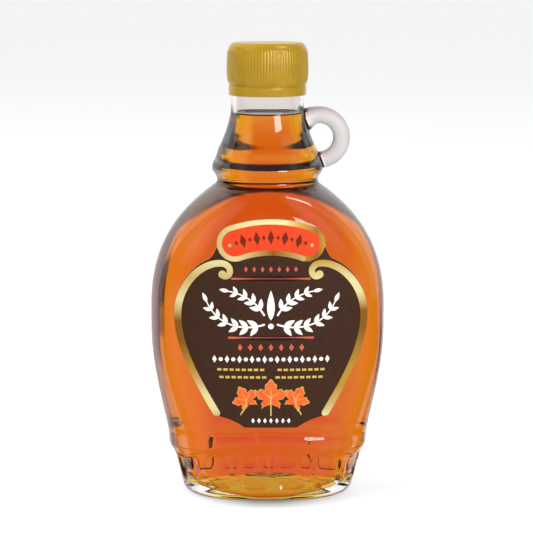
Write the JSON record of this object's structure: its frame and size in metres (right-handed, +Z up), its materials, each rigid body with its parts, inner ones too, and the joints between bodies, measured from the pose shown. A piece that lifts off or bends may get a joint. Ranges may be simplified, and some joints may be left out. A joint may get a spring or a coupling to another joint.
{
  "type": "maple syrup bottle",
  "caption": "Flat-sided glass flask of amber syrup with a finger ring at the neck, a fluted foot, a gold screw cap and a dark shield label on the front.",
  "frame": {"origin": "centre of the foot on the surface the bottle stands on", "axes": "+Z up the neck, -Y out of the labelled front, +X towards the finger ring"},
  "size_m": [0.084, 0.05, 0.161],
  "materials": {
    "clear_glass": "clear, smooth moulded",
    "amber_syrup": "clear amber liquid",
    "gold_plastic": "satin",
    "printed_paper": "printed paper, semi-gloss"
  },
  "bodies": {
    "root": {"glass_bottle": "clear_glass", "syrup": "amber_syrup", "cap": "gold_plastic", "label": "printed_paper"}
  },
  "joints": []
}
